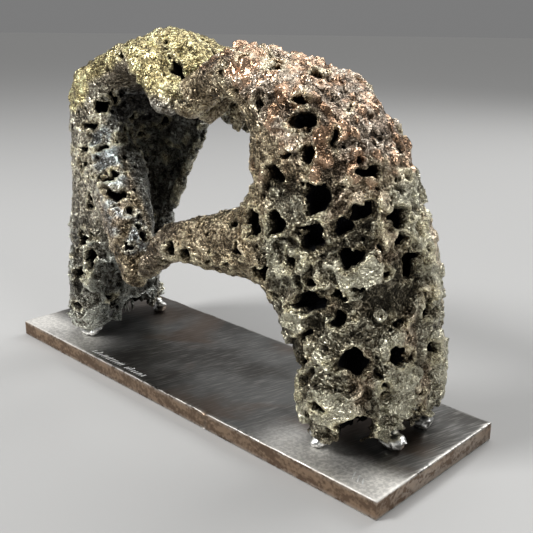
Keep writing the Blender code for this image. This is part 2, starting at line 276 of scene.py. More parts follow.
def empty_field(low, high, margin, step):
    """A grid that holds the box from low to high with a margin around it."""
    first = np.floor((low - margin) / step).astype(np.int32)
    last = np.ceil((high + margin) / step).astype(np.int32)
    return Field(np.empty(tuple(last - first + 1), np.float32), first, step)


MM = 1000.0


def node_mesh(name):
    """Corners in mm and triangles of a node's mesh, as arrays, with corners at one place merged."""
    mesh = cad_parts[name].data
    mesh.calc_loop_triangles()
    corners = np.empty(len(mesh.vertices) * 3, np.float32)
    mesh.vertices.foreach_get("co", corners)
    faces = np.empty(len(mesh.loop_triangles) * 3, np.int32)
    mesh.loop_triangles.foreach_get("vertices", faces)
    places, merged = np.unique(np.round(corners.reshape(-1, 3) * MM, 3), axis=0, return_inverse=True)
    return places.astype(np.float32), merged.ravel()[faces].reshape(-1, 3)


print("field helpers ready")

# %% [markdown]
# From a field back to a mesh. OpenVDB gives small squares, loose crumbs are dropped by keeping only the
# biggest connected piece, and Decimate takes triangles away where the surface is flat and keeps them where
# it is rough.

# %% Meshes from arrays
def largest_piece(count, faces):
    """Which corners belong to the biggest connected piece. Each corner takes the lowest number among its
    neighbours, over and over, until nothing changes."""
    label = np.arange(count)
    ends = np.concatenate([faces[:, [k, (k + 1) % faces.shape[1]]] for k in range(faces.shape[1])])
    while True:
        low = np.minimum(label[ends[:, 0]], label[ends[:, 1]])
        fresh = label.copy()
        np.minimum.at(fresh, ends[:, 0], low)
        np.minimum.at(fresh, ends[:, 1], low)
        fresh = fresh[fresh]
        if (fresh == label).all():
            break
        label = fresh
    names, sizes = np.unique(label, return_counts=True)
    return label == names[sizes.argmax()]


def mesh_object(name, corners, faces):
    """A new object from arrays: corners in mm, and faces that all have as many corners."""
    mesh = bpy.data.meshes.new(name)
    sides = faces.shape[1]
    mesh.vertices.add(len(corners))
    mesh.vertices.foreach_set("co", (corners / MM).astype(np.float32).ravel())
    mesh.loops.add(faces.size)
    mesh.loops.foreach_set("vertex_index", faces.astype(np.int32).ravel())
    mesh.polygons.add(len(faces))
    mesh.polygons.foreach_set("loop_start", np.arange(0, faces.size, sides, dtype=np.int32))
    mesh.update(calc_edges=True)
    mesh.validate()
    return add_object(name, mesh)


print("meshes can be made from arrays")

# %% From a field to an object
SEEN_WEIGHT = 0.5
UNSEEN_FACTOR = 3e-5
HIDDEN_DEPTH = 6.5


def outwardness(corners, faces):
    """More than 0 where the faces of a closed mesh point outwards: the volumes between the origin and the
    first three corners of each face, added up."""
    a, b, c = (corners[faces[:, k]].astype(np.float64) for k in range(3))
    return (a * np.cross(b, c)).sum()


def field_object(name, field, budget, skin=None):
    """The surface where the field is 0, as an object with at most the given number of triangles. Corners
    that lie deep under the skin, where one is given, are taken away sooner."""
    corners, faces = field.grid().convertToQuads(isovalue=0.0)
    keep = largest_piece(len(corners), faces)
    faces = faces[keep[faces[:, 0]]]
    fresh = np.cumsum(keep) - 1
    corners, faces = corners[keep], fresh[faces]
    if outwardness(corners, faces) < 0:
        faces = faces[:, ::-1]
    item = mesh_object(name, corners, faces)
    before = 2 * len(faces)
    if before > budget:
        thin = item.modifiers.new("thin", "DECIMATE")
        thin.ratio = budget / before
        thin.use_collapse_triangulate = True
        if skin:
            group = item.vertex_groups.new(name="thinner")
            unseen = skin.at(corners.astype(np.float32)) < -HIDDEN_DEPTH
            group.add(np.flatnonzero(unseen).tolist(), 1.0, "REPLACE")
            group.add(np.flatnonzero(~unseen).tolist(), SEEN_WEIGHT, "REPLACE")
            thin.vertex_group = group.name
            thin.vertex_group_factor = UNSEEN_FACTOR
        graph = bpy.context.evaluated_depsgraph_get()
        rough = item.data
        item.data = bpy.data.meshes.new_from_object(item.evaluated_get(graph))
        item.modifiers.clear()
        item.vertex_groups.clear()
        bpy.data.meshes.remove(rough)
        item.data.name = name
    item.data.shade_smooth()
    print(name, "triangles", before, "thinned to", len(item.data.polygons))
    return item


print("mesh helpers ready")

# %% [markdown]
# The skin of a hand. The plain solid is closed up first, by swelling and shrinking it, so that its pits
# disappear. The result is blurred, which rounds the plain solid's edges. The empty inside lies a few
# millimetres under that skin, but only where the hand is thick: fingers stay full. A thin wall stands in
# the middle of the empty inside, so that no light falls through from the openings of the other side.

# %% Skin, inside and openings
ROUGH_STEP = 2.0
FINE_STEP = 1.0
CLOSE_UP = 10.0
BLUR_TIMES = 3
SKIN_THICK = 3.4
INSIDE_LEAST = 8.0
DEEPEST = 28.0
WALL_HALF = 1.8
WALL_LOOK = 2
OPENING_DEPTH = 4.5
PIT_BLUR = 4
MARGIN = 6.0


class Form:
    """One hand's fields: the closed skin, the plain solid with its pits, and the empty inside."""

    def __init__(self, node, openings):
        corners, faces = node_mesh(node)
        tree = BVHTree.FromPolygons(corners.tolist(), faces.tolist())
        fronts = [(opening, sight_depth(tree, opening[0], opening[1])) for opening in openings]
        self.seen = [(opening, front) for opening, front in fronts if front is not None]
        print(node, "openings seen in the picture:", len(self.seen), "of", len(openings))
        low, high = corners.min(0), corners.max(0)
        rough = empty_field(low, high, CLOSE_UP + MARGIN, ROUGH_STEP)
        plain = measure(corners, faces, rough, CLOSE_UP + ROUGH_STEP)
        swollen = offset(plain, CLOSE_UP, CLOSE_UP + DEEPEST)
        closed = Field(swollen.values + CLOSE_UP, rough.first, ROUGH_STEP)
        self.skin = closed.blurred(BLUR_TIMES)
        core = offset(self.skin, -(SKIN_THICK + INSIDE_LEAST), INSIDE_LEAST + 2 * ROUGH_STEP)
        skin = self.skin.values
        steepness = np.abs(np.roll(skin, -WALL_LOOK, 0) - np.roll(skin, WALL_LOOK, 0)) / 2
        inside = np.maximum(core.values - INSIDE_LEAST, WALL_HALF - steepness)
        self.inside = Field(inside, rough.first, ROUGH_STEP)
        self.fine = empty_field(low, high, MARGIN, FINE_STEP)
        self.solid = measure(corners, faces, self.fine, MARGIN).blurred(PIT_BLUR)

    def spot(self, points):
        """For points near the skin: how deep they lie, which way is out, and the place on the skin above."""
        depth = self.skin.at(points)
        out = self.skin.slope(points)
        return depth, out, points - depth[:, None] * out

    def opening(self, points, depth, out):
        """More than 0 in one of the plain solid's pits. Points on the skin or near it are looked up a little
        way under it, and all of them with a ragged shift."""
        place = points - np.maximum(0, depth + OPENING_DEPTH)[:, None] * out
        ragged = [noise(place, 8, k * 5.7) * 2.4 + noise(place, 3.4, k * 3.3) * 1.9 for k in range(3)]
        return self.solid.at(place + np.stack(ragged, 1))


print("skin settings ready")

# %% [markdown]
# Zones. Seen along the work, the metal changes: copper over the back of the right hand, brass over the top
# of the left, tan grains on thumbs and inner strips, olive crusts on the arms, a dark palm, and one ridge
# that was heated to a bluish white. Each zone is a smooth mask from 0 to 1 with a ragged edge.

# %% Zones
# The copper's lower edge in mm: its height, where it starts to rise, and by how much
COPPER_LOW, COPPER_FROM, COPPER_RISE = 174, 105, 46
# The brass's lower edge in mm: its height, where it starts to fall, how far it does, and how steeply
BRASS_HIGH, BRASS_FROM, BRASS_REACH, BRASS_SLOPE = 233, 46, 62, 0.72
# How much lower it is at the fingertip
BRASS_TIP = 30


def ragged_height(points, shift):
    """The height of a point, made uneven, so that a zone's edge wanders and drips."""
    return points[:, 2] + 7 * noise(points, 19, shift) + 5 * noise(points, (6, 6, 15), shift + 2.1)


def copper_edge(points):
    """The height of the line where the copper ends, which falls along the back of the right hand."""
    return COPPER_LOW + np.clip(COPPER_FROM - points[:, 0], 0, COPPER_RISE)


def from_fingertip(points):
    """How far along the bar a point is from the tip of the right hand's fingers, made uneven."""
    return points[:, 0] + 4 * noise(points, 8, 2.7)


def copper_zone(points):
    """Above the copper's edge, and away from the fingertip."""
    above = ragged_height(points, 2.2) - copper_edge(points)
    return smooth(-7, 5, above) * smooth(2, 14, from_fingertip(points))


def brass_zone(points):
    """Above a line that rises along the left hand, and the whole tip of its first finger."""
    x = points[:, 0]
    edge = BRASS_HIGH - BRASS_SLOPE * np.clip(-BRASS_FROM - x, 0, BRASS_REACH)
    edge = edge - BRASS_TIP * smooth(-44, -32, x)
    return smooth(-4, 3, ragged_height(points, 1.1) * 0.75 + points[:, 2] * 0.25 - edge)


def crust_zone(points, side):
    """The lower arm on its outer side, right for side 1 and left for side -1."""
    out = side * points[:, 0] + 5 * noise(points, 14, 9.1)
    top, fade = (176, 12) if side > 0 else (116, 34)
    return smooth(top, top - fade, points[:, 2] + 8 * noise(points, 25, 6.6)) * smooth(74, 90, out)


RIDGE = np.array(((-84, -44, 172), (-66, -47, 150), (-52, -54, 126), (-37, -47, 108)), np.float32)


def ridge_zone(points):
    """Near a line that runs down the front of the left hand."""
    near = np.full(len(points), FAR, np.float32)
    for start, end in zip(RIDGE[:-1], RIDGE[1:]):
        along = np.clip(((points - start) @ (end - start)) / ((end - start) ** 2).sum(), 0, 1)
        near = np.minimum(near, np.linalg.norm(points - start - along[:, None] * (end - start), axis=1))
    return smooth(14, 5, near + 5 * noise(points, 9, 4.7))


def palm_zone(points):
    """The hollow side of the left hand, behind its front strip."""
    x, y, z = points.T
    return smooth(-40, -30, y + 3 * noise(points, 9, 3.8)) * smooth(-124, -112, x) * smooth(212, 200, z)


print("zones ready")

# %% [markdown]
# Relief. Beads of two to three millimetres or wrinkles cover everything. Crusts come from the contour lines
# of a noise: on one side of a line the metal is thicker, and along it runs a raised lip, which looks like a
# sheet of metal that ran and froze. Drops are domes of uneven size, a little taller than wide. All heights
# are in mm. The relief goes down to LOWEST at most, because the skin is only a little thicker than that.

# %% Relief patterns
CRUST_MEAN = 2.7


def beads(points, size, shift):
    """Half balls that lie close together, from 0 to 1."""
    gap, pick = pebbles(points, size, shift)
    return dome(gap, 0.64) * (0.5 + 0.5 * pick)


def folds(points, size, shift):
    """Rounded wrinkles from 0 to 1 with sharp grooves between them: a noise without its sign."""
    wave = noise(points, size, shift) + 0.35 * noise(points, size / 2, shift + 4.4)
    return np.minimum(1, 2.6 * np.abs(wave))


def sheets(points, size, shift, step, lip):
    """Run sheets: thicker by step where a noise is above 0, with a lip along the line where it crosses 0,
    and a groove at the foot of the lip."""
    level = lumps(points, size, shift) * size
    groove = 0.5 * step * bell(level + 1.2, 0.8)
    return step * smooth(-0.6, 0.5, level) + lip * bell(level - 1.0, 1.0) - groove


def crusts(points):
    """Broad sheets with narrower ones over them, set low enough that their mean is near 0."""
    broad = sheets(points, 27, 0.4, step=3.0, lip=2.3)
    return broad + sheets(points, 16, 5.5, step=2.1, lip=1.8) - CRUST_MEAN


def drops(points, size, shift, fill):
    """Smooth frozen drops of uneven size, as shares of size, a little longer than they are wide."""
    gap, pick = pebbles(points, (size, size, size * 1.6), shift)
    radius = 0.36 + 0.26 * pick
    return np.clip(1 - (gap / radius) ** 2, 0, 1) ** 0.75 * radius * (pick > 1 - fill)


def grains(points, crusty):
    """What all run metal has: lumps, beads or wrinkles, and small pits between them."""
    gap, pick = pebbles(points, 5.2, 8.8)
    pits = dome(gap, 0.36) * (pick < 0.3)
    fine = 0.85 * beads(points, 3.3, 0.2) + 0.3 * beads(points, 2.1, 3.9)
    wrinkled = np.maximum(crusty, smooth(-0.1, 0.3, noise(points, 30, 6.1)))
    fine = fine + wrinkled * (0.8 * folds(points, 5.5, 2.2) + 0.5 * folds(points, 2.9, 5.0) - fine)
    return (1.1 - 0.4 * crusty) * lumps(points, 13, 1.7) + fine - 1.5 * pits


print("relief patterns ready")

# %% Heights of both hands
LOWEST = -2.3
RELIEF_SINK = 0.8


def copper_drops(points):
    """Few drops all over the copper, and many along its lower edge, where it ran together and froze. Thin
    upright ribs, the tracks of such runs, lie above that edge."""
    above = points[:, 2] - copper_edge(points) + 6 * noise(points, 16, 3.4)
    low_edge = smooth(-10, 2, above) * smooth(26, 12, above)
    flock = np.maximum(smooth(-0.2, 0.3, noise(points, 21, 7.1)) * 0.8, low_edge)
    ribs = 2.2 * smooth(0.2, 0.55, noise(points, (4.5, 4.5, 24), 4.9))
    ribs = ribs * smooth(-4, 6, above) * smooth(56, 24, above)
    hung = 8.0 * drops(points, 8.6, 5.1, fill=0.62) + 3.0 * drops(points, 4.8, 6.3, fill=0.45)
    return np.maximum(hung * flock, ribs)


def brass_drops(points):
    """Close drops of two sizes."""
    return 2.4 * drops(points, 6.0, 1.3, fill=0.65) + 1.2 * drops(points, 3.6, 2.4, fill=0.6)


def right_run(points):
    """Where copper drops lie on the right hand: in the copper, and a little below it."""
    below = 0.8 * smooth(158, 172, points[:, 2]) * smooth(58, 74, points[:, 0])
    return np.maximum(copper_zone(points), below)


def right_drops(points):
    """The height of the right hand's drops."""
    return right_run(points) * copper_drops(points)


def right_height(points):
    """The right hand's relief: drops smooth the grains under them, and crusts lie on arm and copper."""
    crusty, copper = crust_zone(points, 1), copper_zone(points)
    run = right_drops(points)
    rough = grains(points, crusty) * (1 - 0.6 * smooth(0.3, 1.2, run))
    height = rough + np.maximum(crusty, 0.6 * copper) * crusts(points) + run
    return np.maximum(height - RELIEF_SINK, LOWEST)


def left_drops(points):
    """The height of the left hand's drops."""
    return brass_zone(points) * brass_drops(points)


def left_height(points):
    """The left hand's relief: brass drops above, crusts below, streaks in the palm, lips on the ridge."""
    brass, crusty = brass_zone(points), crust_zone(points, -1)
    height = grains(points, np.maximum(crusty, palm_zone(points))) * (1 - 0.3 * brass)
    height += 0.8 * crusty * crusts(points) + left_drops(points)
    height += 1.1 * palm_zone(points) * noise(points, (2.8, 2.8, 24), 7.7)
    height += ridge_zone(points) * sheets(points, 14, 2.6, step=1.6, lip=1.6)
    return np.maximum(height - RELIEF_SINK, LOWEST)


print("the relief goes down to", LOWEST, "mm")

# %% [markdown]
# Openings. The wide ones are the plain solid's own pits. Between them the skin is lace: it is open where a
# noise is high, and at pin-holes, which gas leaves in weld metal. The side that the picture shows has its
# openings where the picture has them: each is a ragged ellipse in the picture, cut where a line of sight
# through it meets the hand. All are looked up on the skin, so each goes straight in.

# %% Openings of the picture
SEEN_DEPTH = 8.0
SIGHT_REACH = 16.0
SHUT = -9.0

# Openings that the picture shows, in its pixels: across, down, width and height
SEEN_OPENINGS = {
    "right": (
        (268, 56, 6, 8), (274, 66, 17, 6), (315, 78, 11, 6), (303, 100, 8, 9), (304, 121, 22, 17),
        (335, 138, 5, 10), (285, 153, 7, 6), (245, 61, 5, 4), (351, 106, 4, 4), (342, 181, 7, 4),
        (402, 175, 6, 9), (255, 222, 10, 22), (277, 228, 15, 18), (311, 232, 24, 13), (366, 211, 24, 15),
        (395, 217, 17, 18), (419, 220, 4, 14), (396, 239, 14, 14), (264, 273, 12, 12), (292, 262, 9, 17),
        (352, 257, 20, 19), (409, 264, 12, 32), (385, 272, 7, 7), (423, 252, 6, 15), (311, 283, 13, 7),
        (306, 304, 30, 10), (342, 297, 9, 6), (340, 317, 13, 17), (304, 336, 13, 12), (398, 321, 16, 8),
        (426, 304, 9, 24), (352, 361, 34, 22), (398, 356, 22, 16), (382, 389, 10, 12), (300, 372, 7, 30),
        (321, 407, 10, 8), (432, 352, 6, 16), (354, 431, 32, 28), (368, 170, 20, 15),
        (223, 73, 8, 11), (227, 97, 11, 10),
        (170, 250, 12, 12), (188, 255, 12, 13), (164, 260, 9, 4), (232, 225, 8, 8), (236, 250, 5, 7),
        (205, 265, 9, 5), (227, 267, 5, 3), (209, 250, 4, 4), (248, 233, 4, 5),
    ),
    "left": (
        (160, 30, 5, 3), (120, 55, 4, 6), (171, 57, 3, 4), (175, 73, 5, 8), (101, 107, 14, 15),
        (88, 126, 12, 6), (114, 96, 6, 6), (84, 149, 11, 5), (102, 149, 12, 7), (83, 163, 5, 12),
        (90, 178, 4, 4), (106, 181, 7, 4), (115, 174, 12, 8), (101, 176, 9, 6), (123, 194, 10, 4),
        (107, 190, 10, 5), (91, 206, 5, 4), (113, 208, 5, 5), (130, 210, 8, 8), (137, 227, 8, 7),
        (143, 235, 6, 6), (131, 246, 5, 5), (82, 238, 6, 12), (76, 251, 4, 6), (89, 259, 9, 18),
        (79, 274, 10, 12), (76, 304, 4, 4), (170, 141, 7, 4), (142, 134, 8, 5),
    ),
}


def in_picture(points):
    """Where the camera sees points in mm: pixels across and down, and how far away, as a pinhole does."""
    away = points - np.array(EYE * MM, np.float32)
    deep = away @ -np.array(BACK, np.float32)
    across = PICTURE_SIDE / 2 + FOCAL_PIXELS * (away @ np.array(RIGHT, np.float32)) / deep
    down = PICTURE_SIDE / 2 - FOCAL_PIXELS * (away @ np.array(UP, np.float32)) / deep
    return across, down, deep


def sight_depth(tree, across, down):
    """How far away the plain solid's surface is behind a pixel, in mm, or None where it misses the solid."""
    sight = RIGHT * (across - PICTURE_SIDE / 2) + UP * (PICTURE_SIDE / 2 - down) - BACK * FOCAL_PIXELS
    hit = tree.ray_cast(EYE * MM, sight.normalized())[0]
    return None if hit is None else (hit - EYE * MM).dot(-BACK)


def seen_openings(form, place):
    """More than 0 in an opening that the picture shows, in mm from its ragged edge."""
    ragged = [noise(place, 7, k * 2.9) * 3.0 + noise(place, 3.4, k * 4.3) * 2.2 for k in range(3)]
    across, down, deep = in_picture(place + np.stack(ragged, 1))
    swell = 1 + 0.3 * noise(place, 5, 6.9)
    most = np.full(len(place), SHUT, np.float32)
    for (x, y, wide, high), front in form.seen:
        near = np.flatnonzero((np.abs(across - x) < wide - SHUT) & (np.abs(down - y) < high - SHUT))
        away = np.hypot((across[near] - x) / wide, (down[near] - y) / high) * swell[near]
        value = (0.48 - away) * min(wide, high) * front / FOCAL_PIXELS
        most[near] = np.maximum(most[near], np.minimum(value, SIGHT_REACH - np.abs(deep[near] - front)))
    return most


print("openings of the picture", {side: len(spots) for side, spots in SEEN_OPENINGS.items()})

# %% Lace and pin-holes
LACE_SIZE = 15.0
LACE_LEVEL = 0.50
LACE_DEPTH = 7.0
LACE_HELD_BACK = 0.26
PIN_SPACING = 10.0
PIN_LEAST = 0.9
PIN_MOST = 2.0
PIN_DEPTH = 6.0


def lace(place, out, side):
    """More than 0 in an opening of the lace, which is densest on crusts and copper. Where the camera looks it
    is held back, because the picture gives the openings there."""
    level = lumps(place * np.array((1, 1, 1.3), np.float32), LACE_SIZE, 9.4)
    if side == "right":
        more = np.maximum(crust_zone(place, 1), copper_zone(place)) * 0.10
    else:
        more = crust_zone(place, -1) * 0.08 - palm_zone(place) * 0.12
    seen = smooth(-0.1, 0.3, out @ np.array(BACK, np.float32))
    return (level + more - LACE_LEVEL - LACE_HELD_BACK * seen) * LACE_SIZE


def pin_holes(place):
    """More than 0 in a pin-hole."""
    gap, pick = pebbles(place, PIN_SPACING, 2.6)
    radius = (PIN_LEAST + (PIN_MOST - PIN_LEAST) * (pick * 7 % 1)) * (pick > 0.35)
    return radius - gap * PIN_SPACING


print("lace ready")

# %% [markdown]
# Growing. The field of a hand is its skin's depth, less the relief, cut by the openings, by the ragged foot
# rim and by the empty inside. The grid is worked through in slabs to save memory, and only near the skin
# and the pits to save time.

# %% Foot rim and cuts
FOOT_BOTTOM = 18.0
FOOT_LIFT = 4.5
FOOT_REACH = (6, 17)
FLAT = np.array((1, 1, 0), np.float32)


def from_tacks(points, tacks):
    """How far points are from the nearest weld tack, seen from above."""
    return np.min([np.hypot(points[:, 0] - x, points[:, 1] - y) for x, y in tacks], 0)


def foot_rim(points, tacks):
    """More than 0 under the ragged rim of a foot, which comes down to the bar only near its weld tacks."""
    near = from_tacks(points, tacks)
    ragged = FOOT_LIFT + 4 * noise(points * FLAT, 9, 1.9) + 1.6 * noise(points, 4.5, 5.2)
    return FOOT_BOTTOM + smooth(*FOOT_REACH, near) * ragged - points[:, 2]


def cuts(form, side, points, depth, out, place):
    """Two numbers for each point: more than 0 in a wide opening, and more than 0 in a pin-hole."""
    wide = form.opening(points, depth, out)
    woven = np.minimum(lace(place, out, side), depth + LACE_DEPTH)
    seen = np.minimum(seen_openings(form, place), depth + SEEN_DEPTH)
    return np.maximum(wide, np.maximum(woven, seen)), np.minimum(pin_holes(place), depth + PIN_DEPTH)


print("foot rim and cuts ready")

# %% Growing a hand
FIELD_END = 3.0
FOOT_OPEN = 44.0
RIM_HEIGHT = 1.6
RIM_WIDE = 1.2
RIM_AWAY = 1.5
NEAR = 5.0
NEAR_INSIDE = 4.0
INSIDE_ROUGH = 0.8
SLAB = 12
HAND_BUDGET = 196000
UPRIGHT = np.array((0, 0, 1), np.float32)


def grow(form, side, height, tacks):
    """The finished field of one hand: the greatest of depth less relief, openings, foot rim and inside."""
    done = np.full(form.fine.values.shape, FIELD_END, np.float32)
    for start in range(0, len(done), SLAB):
        slab = slice(start, start + SLAB)
        points = form.fine.points(start, start + SLAB)
        shallow = form.skin.at(points)
        foot_up = points * FLAT + np.maximum(points[:, 2:], FOOT_OPEN) * UPRIGHT
        inside = form.inside.at(foot_up)
        value = np.clip(np.maximum(shallow, -inside), -FIELD_END, FIELD_END)
        deep = (shallow < -SEEN_DEPTH) & (form.solid.values[slab].ravel() < -NEAR)
        work = np.flatnonzero((shallow < NEAR) & ~deep & (inside > -NEAR_INSIDE))
        spot = points[work]
        depth, out, place = form.spot(spot)
        wide, small = cuts(form, side, spot, depth, out, place)
        rim = bell(wide + RIM_AWAY, RIM_WIDE) * smooth(-4, -1, depth)
        body = depth - height(place) - RIM_HEIGHT * rim
        body = np.maximum(np.maximum(body, wide), np.maximum(small, foot_rim(spot, tacks)))
        value[work] = np.maximum(body, -inside[work] - INSIDE_ROUGH * noise(spot, 12, 3.3))
        done[slab] = np.clip(value, -FIELD_END, FIELD_END).reshape(done[slab].shape)
    return Field(done, form.fine.first, FINE_STEP)


def tacks_of(side):
    """The middles of a side's weld tacks, in mm."""
    boxes = [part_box(f"{side}_weld_{k}") for k in (1, 2, 3)]
    return [((low + high) / 2 * MM).xy for low, high in boxes]


hands, forms = {}, {}
for side, height in (("right", right_height), ("left", left_height)):
    form = forms[side] = Form(f"{side}_hand", SEEN_OPENINGS[side])
    field = grow(form, side, height, tacks_of(side))
    hands[side] = field_object(f"{side}_hand_of_run_metal", field, HAND_BUDGET, form.skin)

# %% [markdown]
# Colours on the corners. All is tan metal, and each zone covers it with a coat of its own, the next one over
# the last. Rims of openings get a cream lip. Each corner of the mesh also gets the rise of the relief there,
# which the material paints as shade when low and as a highlight when high, how sleek a drop makes it, and
# how much painted shade darkens it, which grows with the depth under the skin. The geometry knows where its
# drops and rims are, and a pattern in the material would have to guess.

# %% Coats
STEEL = (0.58, 0.50, 0.42)
TAN = (0.60, 0.51, 0.36)
OLIVE = (0.46, 0.44, 0.35)
PALM = (0.31, 0.32, 0.30)
RIDGE_WHITE = (0.74, 0.82, 0.88)
COPPER = (0.71, 0.48, 0.33)
BRASS = (1.0, 0.90, 0.51)
UNDER_BRASS = (0.31, 0.28, 0.22)
TIP_BROWN = (0.46, 0.39, 0.30)
# Painted shadow for the hollow under the left hand's first finger
PALM_HOLLOW_SHADOW = (0.10, 0.10, 0.10)
ARM_GREY = (0.56, 0.57, 0.52)
STRIP_CREAM = (0.81, 0.79, 0.68)
FINGERTIP = (0.66, 0.65, 0.60)
LIP_CREAM = (0.78, 0.72, 0.52)


def corners_of(item):
    """An object's corners in mm."""
    flat = np.empty(len(item.data.vertices) * 3, np.float32)
    item.data.vertices.foreach_get("co", flat)
    return flat.reshape(-1, 3) * np.float32(MM)


def paint(item, **layers):
    """Stores one number for each corner under each name, for the material to read."""
    for name, values in layers.items():
        layer = item.data.attributes.new(name, "FLOAT", "POINT")
        layer.data.foreach_set("value", values.astype(np.float32))


def right_coats(place):
    """The right hand's coats over the tan, from the lowest to the topmost: how much and which colour."""
    crust, copper = crust_zone(place, 1), copper_zone(place)
    brown = smooth(0.1, 0.5, noise(place, 15, 8.2)) * crust
    stain = smooth(0.0, 0.5, noise(place, 9, 5.9)) * copper
    drop = smooth(0.5, 1.6, copper_drops(place)) * right_run(place)
    return [
        (crust, OLIVE), (brown * 0.3, COPPER), (copper * 0.9, STEEL),
        (smooth(16, 0, from_fingertip(place)), TIP_BROWN), (np.maximum(drop, stain * 0.3), COPPER),
    ]


def left_coats(place):
    """The left hand's coats over the tan, from the lowest to the topmost: how much and which colour."""
    x, y, z = place.T
    palm = palm_zone(place)
    strip = smooth(-60, -80, x) * smooth(-10, -30, y)
    return [
        (smooth(-0.2, 0.4, noise(place, 24, 3.6)) * 0.6, STEEL), (strip * 0.8, STRIP_CREAM),
        (crust_zone(place, -1), ARM_GREY),
        (smooth(204, 214, z + 4 * noise(place, 12, 1.4)) * 0.8, UNDER_BRASS),
        # The top of the palm, under the first finger, is painted dark as shadow
        (palm, PALM), (palm * smooth(168, 196, z), PALM_HOLLOW_SHADOW),
        (ridge_zone(place) * smooth(-0.4, 0.1, noise(place, 6, 7.2)) * 0.9, RIDGE_WHITE),
        (brass_zone(place), BRASS), (smooth(210, 198, z) * smooth(-36, -24, x) * 0.8, FINGERTIP),
    ]


print("coats ready")

# %% Colours on the corners
LIP_AWAY = 0.7
LIP_WIDE = 1.1
LIP_SHARE = 0.65

for side, coats, drops_on in (("right", right_coats, right_drops), ("left", left_coats, left_drops)):
    item, form = hands[side], forms[side]
    spots = corners_of(item)
    depth, out, place = form.spot(spots)
    wide, _ = cuts(form, side, spots, depth, out, place)
    lip = bell(wide + LIP_AWAY, LIP_WIDE)
    tint = np.array(TAN, np.float32)
    for amount, colour in coats(place) + [(lip * LIP_SHARE, LIP_CREAM)]:
        tint = tint + amount[:, None] * (np.array(colour, np.float32) - tint)
    layer = item.data.attributes.new("tint", "FLOAT_COLOR", "POINT")
    layer.data.foreach_set("color", np.hstack([tint, np.ones((len(tint), 1))]).astype(np.float32).ravel())
    sleek = smooth(0.4, 1.5, drops_on(place))
    # Painted shade that darkens corners deep under the skin, and the rise that the material paints as shade
    # or highlight
    paint(item, soot=smooth(-2.2, -5.5, depth), rise=np.clip(0.5 + depth * 0.15, 0, 1), sleek=sleek)
    print(side, "corners under the skin", round(float((depth < -3).mean()), 2))

# %% [markdown]
# Shader maths. A node tree reads badly as a list of links, so a small class wraps a socket and lets
# Python's own operators add the Math nodes. Colours go through Mix nodes, which keep their three channels.

# %% Sockets with operators
class Wire:
    """One output socket of a material's node tree, which can be added, subtracted and multiplied."""

    def __init__(self, tree, socket):
        self.tree = tree
        self.socket = socket

    def node(self, kind, settings=None, outlet=0, **inputs):
        """A new node: its type, its settings, and the values or wires of its inputs by name or number."""
        return add_node(self.tree, kind, settings, outlet, **inputs)

    def math(self, operation, *values):
        """A Math node on wires or plain numbers."""
        inputs = {f"input_{k}": value for k, value in enumerate(values)}
        return self.node("ShaderNodeMath", {"operation": operation}, **inputs)

    def __add__(self, other):
        return self.math("ADD", self, other)

    __radd__ = __add__

    def __mul__(self, other):
        return self.math("MULTIPLY", self, other)

    __rmul__ = __mul__

    def __sub__(self, other):
        return self.math("SUBTRACT", self, other)

    def __rsub__(self, other):
        return self.math("SUBTRACT", other, self)

    def size(self):
        """The number without its sign."""
        return self.math("ABSOLUTE", self)

    def step(self, low, high):
        """0 up to low, 1 from high on, and smooth in between."""
        settings = {"interpolation_type": "SMOOTHSTEP"}
        return self.node("ShaderNodeMapRange", settings, Value=self, From_Min=low, From_Max=high)


print("sockets can be added, subtracted and multiplied")

# %% Nodes and materials
def feed(node, **inputs):
    """Links wires to a node's sockets, and sets plain numbers, vectors and colours on them. A socket is
    called by its name, as in Base_Color, or by its place in the list, as in input_0."""
    for key, value in inputs.items():
        place = key.removeprefix("input_")
        inlet = node.inputs[key.replace("_", " ") if place == key else int(place)]
        if isinstance(value, Wire):
            value.tree.links.new(value.socket, inlet)
        else:
            inlet.default_value = (*value, 1.0) if inlet.type == "RGBA" else value


def add_node(tree, kind, settings=None, outlet=0, **inputs):
    """Adds a node, sets its settings first, a ramp's stops among them, then its inputs."""
    node = tree.nodes.new(kind)
    settings = dict(settings or {})
    stops = settings.pop("stops", ())
    for key, value in settings.items():
        setattr(node, key, value)
    for _ in stops[2:]:
        node.color_ramp.elements.new(1.0)
    for k, (place, colour) in enumerate(stops):
        node.color_ramp.elements[k].position = place
        node.color_ramp.elements[k].color = (*colour, 1.0)
    feed(node, **inputs)
    return Wire(tree, node.outputs[outlet])


def attribute(tree, name, outlet):
    """What is stored on the mesh's corners under a name: its colour at outlet 0, its number at outlet 2."""
    return add_node(tree, "ShaderNodeAttribute", {"attribute_name": name}, outlet)


def clouds(place, scale, layers, bend=0.0, outlet=0):
    """Smooth noise with so many lumps to the metre, laid over itself in finer layers, and bent by bend."""
    return place.node(
        "ShaderNodeTexNoise", None, outlet, input_0=place, Scale=scale, Detail=layers, Distortion=bend
    )


def mix_colours(factor, under, over):
    """The colour under, covered by the colour over where factor is 1."""
    wire = next(item for item in (factor, under, over) if isinstance(item, Wire))
    return wire.node(
        "ShaderNodeMix", {"data_type": "RGBA"}, 2, input_0=factor, input_6=under, input_7=over
    )


def new_material(name):
    """An empty node tree with a Principled shader and its output: (material, tree, shader node)."""
    material = bpy.data.materials.new(name)
    material.use_nodes = True
    tree = material.node_tree
    tree.nodes.clear()
    shader = tree.nodes.new("ShaderNodeBsdfPrincipled")
    output = tree.nodes.new("ShaderNodeOutputMaterial")
    tree.links.new(shader.outputs["BSDF"], output.inputs["Surface"])
    return material, tree, shader


def bare_metal(shader, colour, rough, bump, distance, height):
    """Sets a Principled shader to bare metal: its colour and roughness, and a bump of some strength over a
    distance in metres."""
    bumpy = height.node("ShaderNodeBump", Strength=bump, Distance=distance, Height=height)
    feed(shader, Base_Color=colour, Metallic=1.0, Roughness=rough, Normal=bumpy)


print("shader helpers ready")
